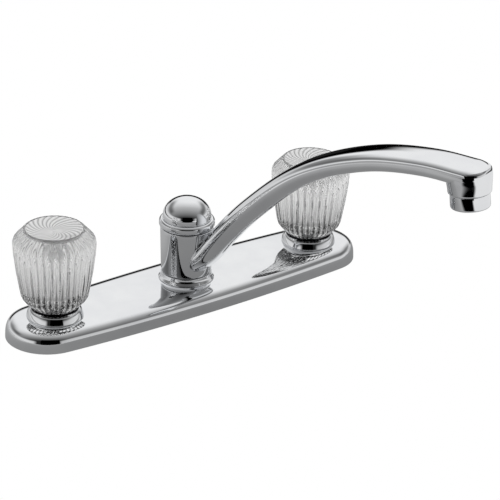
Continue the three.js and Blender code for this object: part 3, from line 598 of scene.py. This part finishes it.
# A tower whose plan goes from a circle at the rim to the nose's rounded square: four straight sides of the half width
# less the corner's radius, and a quarter circle at each corner. Below it is the aerator's well.
def outletSurface():
    angle = onceRound(spout["outletColumns"], 0.5)
    radius, well = spout["outletRadius"], spout["outletRadius"] - spout["outletWall"]
    rimHeight = spout["rimHeight"]
    z = np.concatenate([[0, 0.3 * rimHeight, rimHeight], np.linspace(1, spout["tower"][-1][0], spout["outletRows"])])
    share = np.clip((z - spout["neck"]) / (spout["blend"] - spout["neck"]), 0, 1)
    corner = radius + (spout["noseCorner"] - radius) * share * share * (3 - 2 * share)
    rimShare = 1 - np.clip(z / rimHeight, 0, 1)
    edge = np.where(z < rimHeight, spout["rimRound"] * (1 - np.sqrt(1 - rimShare ** 2)), 0)
    half = np.interp(z, *np.array(spout["tower"], float).T)[:, None]
    half = smoothed(half, spout["towerBlend"])[:, 0]
    flat, bend = (half - corner)[:, None], (corner - edge)[:, None]
    c, s = np.cos(angle), np.sin(angle)
    body = np.stack([np.sign(c) * flat + bend * c, np.sign(s) * flat + bend * s, z[:, None] + 0 * c], -1)
    inner = np.stack([well * c, well * s, 0 * c], -1)[None]
    rings = np.concatenate([inner + [0, 0, spout["threadDepth"]], inner + [0, 0, spout["wellStep"]], inner, body])
    return atOutlet(shell(rings))


# The sleeve widens a little from its foot to its top, with softened ends, round a plain bore.
def sleeveSurface():
    low, high, cut = spout["foot"], spout["foot"] + spout["length"], spout["sleeveEdge"]
    corners = [[spout["bore"], low], [spout["bottomRadius"], low], [spout["topRadius"], high], [spout["bore"], high]]
    profile = softened(corners, [0, cut, cut, 0])
    at = np.argmax(np.diff(profile[:, 1]))      # the long outer wall starts here
    upright = profile[at] + (profile[at + 1] - profile[at]) * np.linspace(0, 1, spout["sleeveRows"])[1:-1, None]
    return shell(turned(np.concatenate([profile[:at + 1], upright, profile[at + 1:]])), True)


spoutParts = together(sleeveSurface(), archSurface(), outletSurface())
finishPiece("dressed_spout", *swung(spoutParts), "spout", "chrome", ["spout"], sharp=40)
print("spout")


aerator = {
    "radius": 12.2, "skirt": 9.6, "gap": 0.55,      # the gap shows as a dark line under the spout's rim
    "lipRadius": 9.2, "lip": 1.2, "bore": 10.3, "neck": 11.5, "top": 5.7,
    "cuts": [0.3, 1.3, 0.25, 0, 0, 0, 0, 0.3], "cutSteps": 8,
}


# A plain skirt with a rounded foot, a lip turned in below, and the threaded neck that goes up into the spout.
def aeratorSurface():
    foot, lipTop = -aerator["skirt"], aerator["lip"] - aerator["skirt"]
    corners = [[aerator["lipRadius"], foot], [aerator["radius"], foot], [aerator["radius"], -aerator["gap"]],
               [aerator["neck"], -aerator["gap"]], [aerator["neck"], aerator["top"]],
               [aerator["bore"], aerator["top"]], [aerator["bore"], lipTop], [aerator["lipRadius"], lipTop]]
    return atOutlet(shell(turned(softened(corners, aerator["cuts"], aerator["cutSteps"])), True))


finishPiece("dressed_aerator", *swung(aeratorSurface()), "spout", "chrome", ["aerator_housing"])
print("aerator")


bonnet = {
    "inner": 12.36, "neck": 13.2, "neckFoot": 19.1, "height": 8.0, "chamfer": 0.3,
    "ceiling": 18.9, "stemHole": 5.23,
    "cone": [[18.0, 13.0], [18.2, 13.5], [17.75, 15.0], [17.2, 16.5], [16.6, 17.8], [15.2, 18.7], [13.4, 18.8]],
    "cuts": [0, 0.4, 0.9, 0.9, 0.7, 0.4, 0.3],
    # the neck's faces above this height and outside this radius get a painted shade, the knob's shadow
    "paintedShadeAbove": 18.62, "paintedShadeOutside": 12.5,        # the outside of the neck is in the knob's shadow
}
knob = {
    "foot": 21.5, "height": 51.7, "flutes": 36, "grooveDepth": 1.7, "columnsPerFlute": 10,
    # radius, height above the foot, and the share of the groove's depth
    "outline": [[14.9, -1.0, 0], [15.9, -1.0, 0], [16.3, -0.6, 0], [16.2, 0.1, 0], [16.6, 0.7, 0], [17.8, 1.4, 0],
                [19.2, 2.8, 0], [20.4, 4.2, 0.2], [21.3, 5.7, 0.7],
                [22.0, 9, 1], [24.3, 22.5, 1], [25.7, 33.5, 1], [26.2, 38.5, 0.8], [26.35, 42, 0.4], [26.1, 43.6, 0.3],
                [25.5, 44.7, 0.25], [24.2, 46.1, 0.2], [19.3, 51.3, 0.1], [18.8, 51.65, 0]],
    "outlineSteps": 90, "outlineBlend": 3,
    "seatMouth": 18.6, "mouthDepth": 0.3, "seatRadius": 18.2, "seatDepth": 3.0,
    "underHead": 42.5, "counterbore": 5.2, "screwHole": 2.5,
    "splineRadius": 4.3, "splineTop": 35.5, "shaftRadius": 5.2, "shaftTop": 22.8, "footInner": 14.7,
    # how dark the painted shade in the grooves is at heights above the foot, and how it gathers in them
    "paintedGrooveShade": [(0, 0.95), (5, 0.93), (11, 0.75), (20, 0.45), (30, 0.22), (38, 0.15), (42, 0.0)], "paintedShadePower": 0.7,
}
cap = {
    "radius": 18.12, "thickness": 3.0, "chamfer": 0.3, "rimDepth": 0.4, "floorShare": 0.3,
    "dish": 1.8, "ridges": 24, "depth": 0.55, "columnsPerRidge": 8,
    "twist": 60.0,          # degrees that a ridge turns on its way in
    "rings": 26, "outerShare": 0.985, "innerShare": 0.04,
}


# A cone that leans in a little, a rounded shoulder and a short neck.
def bonnetSurface():
    top, neck, chamfer = deckTop + bonnet["height"], bonnet["neck"], bonnet["chamfer"]
    curve = softened(bonnet["cone"], bonnet["cuts"], closed=False)
    profile = np.concatenate([[[bonnet["inner"], deckTop]], curve,
                              [[neck, bonnet["neckFoot"]], [neck, top - chamfer], [neck - chamfer, top],
                               [bonnet["stemHole"], top], [bonnet["stemHole"], bonnet["ceiling"]],
                               [bonnet["inner"], bonnet["ceiling"]]]])
    return shell(turned(profile), True)


# The faces of the neck that lie in the knob's shadow get the dark chrome, a painted shade.
def paintNeckShade(piece, x):
    piece.data.materials.append(finishes["chrome with painted neck shade"])
    middles = np.empty(3 * len(piece.data.polygons))
    piece.data.polygons.foreach_get("center", middles)
    middles = middles.reshape(-1, 3)
    outside = np.hypot(middles[:, 0] - x * mm, middles[:, 1]) > bonnet["paintedShadeOutside"] * mm
    dark = outside & (middles[:, 2] > bonnet["paintedShadeAbove"] * mm)
    piece.data.polygons.foreach_set("material_index", dark.astype(np.int32))


# The outline is eased between its rows. Each flute is a rounded rib: the radius falls towards the groove by its depth
# times one less the sine of a half turn. Inside are the cap's seat and the bores for screw and stem. The third result
# is the painted shade of the grooves at each point, darker towards the foot.
def knobSurface():
    rows = np.array(knob["outline"], float)
    along = np.concatenate([[0], np.cumsum(np.hypot(*np.diff(rows[:, :2], axis=0).T))])
    steps = np.linspace(0, along[-1], knob["outlineSteps"])
    outline = np.stack([np.interp(steps, along, rows[:, k]) for k in range(3)], -1)
    outline = smoothed(outline, knob["outlineBlend"])
    columns = knob["flutes"] * knob["columnsPerFlute"]
    angle = onceRound(columns)
    groove = 1 - np.abs(np.sin(angle * knob["flutes"] / 2))
    radius = outline[:, :1] - knob["grooveDepth"] * outline[:, 2:] * groove
    outside = np.stack([radius * np.cos(angle), radius * np.sin(angle),
                        knob["foot"] + outline[:, 1:2] + 0 * angle], -1)
    top, seat = knob["foot"] + knob["height"], knob["foot"] + knob["height"] - knob["seatDepth"]
    inside = turned([[knob["seatMouth"], top], [knob["seatRadius"], top - knob["mouthDepth"]],
                     [knob["seatRadius"], seat], [knob["counterbore"], seat],
                     [knob["counterbore"], knob["underHead"]], [knob["screwHole"], knob["underHead"]],
                     [knob["screwHole"], knob["splineTop"]], [knob["splineRadius"], knob["splineTop"]],
                     [knob["splineRadius"], knob["shaftTop"]], [knob["shaftRadius"], knob["shaftTop"]],
                     [knob["shaftRadius"], knob["foot"]], [knob["footInner"], knob["foot"]]], columns)
    points, faces = shell(np.concatenate([outside, inside]), True)
    paintedGrooveShade = np.zeros(len(points))
    paintedDarkness = np.interp(outline[:, 1], *zip(*knob["paintedGrooveShade"]))[:, None] * groove ** knob["paintedShadePower"]
    paintedGrooveShade[:paintedDarkness.size] = paintedDarkness.ravel()
    return points, faces, paintedGrooveShade


# Ridges swirl in to the middle of a shallow dish: the turn grows as the radius shrinks, and the ridge height falls
# with the root of the radius. The third result is 1 on the ridges and 0 between them, for painted highlight and shade.
def capSurface():
    top = knob["foot"] + knob["height"]
    low, radius = top - cap["thickness"], cap["radius"]
    columns = cap["ridges"] * cap["columnsPerRidge"]
    angle = onceRound(columns)
    share = np.linspace(cap["outerShare"], cap["innerShare"], cap["rings"])[:, None]
    turn = math.radians(cap["twist"]) * (1 - share)
    ridge = np.abs(np.sin(angle * cap["ridges"] / 2))
    depth = cap["dish"] * (1 - share ** 2) + cap["depth"] * np.sqrt(share) * (1 - ridge)
    dish = np.stack([radius * share * np.cos(angle + turn), radius * share * np.sin(angle + turn), top - depth], -1)
    edge = turned([[cap["floorShare"] * radius, low], [radius - cap["chamfer"], low],
                   [radius, low + cap["chamfer"]], [radius, top - cap["rimDepth"]]], columns)
    points, faces = shell(np.concatenate([edge, dish]))
    height = np.ones(len(points))
    height[len(edge) * columns:][:cap["rings"] * columns] = np.tile(ridge, cap["rings"])
    return points, faces, height


for label, x in (("hot", -handleX), ("cold", handleX)):
    handle = label + "_handle"
    dressed = finishPiece("dressed_bonnet_" + label, *moved(bonnetSurface(), x), "base", "chrome", ["bonnet_" + label])
    paintNeckShade(dressed, x)
    points, faces, paintedGrooveShade = knobSurface()
    dressed = finishPiece("dressed_knob_" + label, *moved((points, faces), x), handle, "clear_acrylic",
                          ["knob_" + label], sharp=60, finish="fluted acrylic with painted groove shade")
    # painted shade for the knob's grooves
    addMeshValue(dressed, "paintedGrooveShade", paintedGrooveShade)
    points, faces, ridge = capSurface()
    dressed = finishPiece("dressed_cap_" + label, *moved((points, faces), x), handle, "clear_acrylic",
                          ["knob_cap_" + label], sharp=60, finish="swirled acrylic with painted ridge light")
    # painted highlight on the cap's ridges and painted shade between them
    addMeshValue(dressed, "ridge", ridge)
print("bonnets, knobs and caps")


# Directions and places here are turned with the view: X to its right, Y away from it, Z up. Metres and degrees. A
# pair is where a change starts and ends. It goes from 0 to 1, or between the two numbers that follow.
studio = {
    "floorSize": 6.0,
    "floorNear": [(0.0, 0.22), (0.1, 0.26), (0.2, 0.33), (0.32, 0.45), (0.5, 1.0)],     # glow by distance
    "floorFar": (-0.15, 0.25, 0.36, 0.85),          # glow further out, from left to right
    "floorChange": (0.32, 0.5),                     # distance at which one gives way to the other
    "floorLeft": (-0.14, 0.0, 1.7, 1.0),            # how much lighter the near floor is on the left and behind
    "floorRear": (0.30, 0.42, 1.0, 0.03),           # the floor behind the faucet turns dark
    # the dark strip of floor towards the opening: its middle, its sides and its end
    "floorGap": 0.05, "floorGapSide": (0.20, 0.28), "floorGapStart": (-0.36, -0.28),
    "opening": (-0.24, 0.36, -0.67, 0.001, 0.40),   # left, right, distance, foot and top of the tent's dark opening
    "sky": [(0.25, 0.02), (0.44, 0.19), (0.62, 0.35), (0.777, 0.51), (0.889, 0.75), (0.96, 0.93), (1.0, 0.93)],
    "skyTilt": 35.0,                                # height of the brightest direction, behind the faucet
    # glow of the walls by degrees round from straight in front, to the right
    "walls": [(-160, 0.0), (-145, 0.7), (-60, 0.78), (-34, 0.7), (-24, 0.0), (30, 0.0), (42, 0.52), (70, 0.68),
              (105, 0.76), (130, 0.6), (155, 0.0)],
    "wallHeight": (0.14, 0.38, 1.0, 0.0),
    "horizon": (0.16, 0.29), "horizonSide": (0.4, 0.6), "horizonBehind": (-0.2, 0.2, 1.0, 0.0),
    # the dark seam above the walls, at both sides and behind: its lower and upper edge, and where it begins
    "seamFoot": (0.22, 0.42), "seamTop": (0.5, 0.75, 1.0, 0.0),
    "seamSide": (0.25, 0.6, 0.0, 0.65), "seamBehind": (-0.3, 0.1),
    "throughGlow": 1.32, "throughShare": 0.35,      # even light through the clear knobs, and its share
    "softGlow": 1.15,                               # light of the tent on matt surfaces
}


# One sum, product or other arithmetic step on sockets or numbers.
def worked(tree, operation, *values):
    return addNode(tree, "Math", dict(enumerate(values)), operation=operation).outputs[0]


# A soft step between two places: 3t^2 - 2t^3, from the first value to the last.
def softStep(tree, value, low, high, first=0.0, last=1.0):
    ends = {"Value": value, "From Min": low, "From Max": high, "To Min": first, "To Max": last}
    return addNode(tree, "MapRange", ends, interpolation_type="SMOOTHSTEP").outputs["Result"]


# One value gives way to another by a share.
def blended(tree, share, first, second):
    return addNode(tree, "Mix", {0: share, 2: first, 3: second}, data_type="FLOAT").outputs[0]


# Part of the light that comes through the clear knobs is even, which keeps them pale.
def throughKnobs(tree, rays, glow):
    through = worked(tree, "MULTIPLY", rays.outputs["Is Transmission Ray"], studio["throughShare"])
    return blended(tree, through, glow, studio["throughGlow"])


# The node tree of a material or world, emptied.
def emptyTree(owner):
    owner.use_nodes = True
    owner.node_tree.nodes.clear()
    return owner.node_tree


# One four-sided face of the studio, which isn't part of the faucet.
def stagePiece(name, corners, material):
    mesh = bpy.data.meshes.new(name)
    mesh.from_pydata(corners, [], [(0, 1, 2, 3)])
    mesh.materials.append(material)
    piece = bpy.data.objects.new(name, mesh)
    bpy.context.scene.collection.objects.link(piece)
    return piece


# A plain pale floor, whose glow goes by distance and direction. It looks white itself, as in the photograph, and from
# below it isn't there.
def addFloor():
    material = bpy.data.materials.new("pale floor")
    tree = emptyTree(material)
    rays = addNode(tree, "LightPath")
    place = patternPlace(tree, turn=(0, 0, math.radians(view["turn"])))
    split = addNode(tree, "SeparateXYZ", {0: place})
    x, y = split.outputs["X"], split.outputs["Y"]
    away = addNode(tree, "VectorMath", {0: place}, operation="LENGTH").outputs["Value"]
    left = softStep(tree, worked(tree, "SUBTRACT", x, y), *studio["floorLeft"])
    near = worked(tree, "MULTIPLY", addRamp(tree, away, studio["floorNear"]), left)
    far = softStep(tree, x, *studio["floorFar"])
    glow = blended(tree, softStep(tree, away, *studio["floorChange"]), near, far)
    glow = worked(tree, "MULTIPLY", glow, softStep(tree, y, *studio["floorRear"]))
    aside = worked(tree, "ABSOLUTE", worked(tree, "SUBTRACT", x, studio["floorGap"]))
    beside = softStep(tree, aside, *studio["floorGapSide"])
    before = softStep(tree, y, *studio["floorGapStart"])
    glow = worked(tree, "MULTIPLY", glow, worked(tree, "MAXIMUM", beside, before))
    glow = throughKnobs(tree, rays, glow)
    glow = blended(tree, rays.outputs["Is Camera Ray"], glow, 1.0)
    shine = addNode(tree, "Emission", {"Color": glow, "Strength": 1.0}).outputs[0]
    clear = addNode(tree, "BsdfTransparent").outputs[0]
    below = addNode(tree, "NewGeometry").outputs["Backfacing"]
    surface = addNode(tree, "MixShader", {0: below, 1: shine, 2: clear}).outputs[0]
    addNode(tree, "OutputMaterial", {"Surface": surface})
    size = studio["floorSize"]
    stagePiece("floor", [(-size, -size, 0), (size, -size, 0), (size, size, 0), (-size, size, 0)], material)


# The tent's dark opening in front: a black card that shows in reflections and through the clear knobs only.
def addOpening():
    left, right, distance, foot, top = studio["opening"]
    material = bpy.data.materials.new("dark opening")
    tree = emptyTree(material)
    black = addNode(tree, "Emission", {"Color": (0, 0, 0, 1), "Strength": 0.0}).outputs[0]
    addNode(tree, "OutputMaterial", {"Surface": black})
    turn = math.radians(-view["turn"])
    corners = [(x * math.cos(turn) - distance * math.sin(turn), x * math.sin(turn) + distance * math.cos(turn), z)
               for x, z in ((left, foot), (right, foot), (right, top), (left, top))]
    card = stagePiece("dark_opening", corners, material)
    card.visible_camera = card.visible_diffuse = card.visible_shadow = False


# Light by direction: brightest behind and above the faucet and darker towards the front, with pale walls at the sides,
# a darker seam above them, and a dark horizon straight behind.
def addStudioLight():
    world = bpy.data.worlds.new("studio")
    bpy.context.scene.world = world
    tree = emptyTree(world)
    rays = addNode(tree, "LightPath")
    place = addNode(tree, "TexCoord").outputs["Generated"]
    direction = addNode(tree, "Mapping", {"Vector": place, "Rotation": (0, 0, math.radians(view["turn"]))}).outputs[0]
    split = addNode(tree, "SeparateXYZ", {0: direction})
    x, y, z = (split.outputs[k] for k in range(3))
    side = worked(tree, "ABSOLUTE", x)
    tilt = math.radians(studio["skyTilt"])
    brightest = {0: direction, 1: (0, math.cos(tilt), math.sin(tilt))}
    nearness = addNode(tree, "VectorMath", brightest, operation="DOT_PRODUCT").outputs["Value"]
    sky = addRamp(tree, worked(tree, "MULTIPLY_ADD", nearness, 0.5, 0.5), studio["sky"])
    around = worked(tree, "ARCTAN2", x, worked(tree, "MULTIPLY", y, -1.0))
    halfTurn = {"Value": around, "From Min": -math.pi, "From Max": math.pi}
    around = addNode(tree, "MapRange", halfTurn).outputs["Result"]
    walls = addRamp(tree, around, [(turn / 360 + 0.5, glow) for turn, glow in studio["walls"]])
    walls = worked(tree, "MULTIPLY", walls, softStep(tree, z, *studio["wallHeight"]))
    glow = worked(tree, "MAXIMUM", sky, walls)
    horizon = worked(tree, "MAXIMUM", softStep(tree, z, *studio["horizon"]),
                     softStep(tree, side, *studio["horizonSide"]))
    horizon = worked(tree, "MAXIMUM", horizon, softStep(tree, y, *studio["horizonBehind"]))
    glow = worked(tree, "MULTIPLY", glow, horizon)
    seam = worked(tree, "MULTIPLY", softStep(tree, z, *studio["seamFoot"]), softStep(tree, z, *studio["seamTop"]))
    seam = worked(tree, "MULTIPLY", seam, softStep(tree, side, *studio["seamSide"]))
    seam = worked(tree, "MULTIPLY", seam, softStep(tree, y, *studio["seamBehind"]))
    glow = worked(tree, "MULTIPLY", glow, worked(tree, "SUBTRACT", 1.0, seam))
    glow = throughKnobs(tree, rays, glow)
    glow = blended(tree, rays.outputs["Is Diffuse Ray"], glow, studio["softGlow"])
    glow = blended(tree, rays.outputs["Is Camera Ray"], glow, 1.0)
    shine = addNode(tree, "Background", {"Color": glow}).outputs[0]
    addNode(tree, "OutputWorld", {"Surface": shine})


addFloor()
addOpening()
addStudioLight()
print("floor and light")
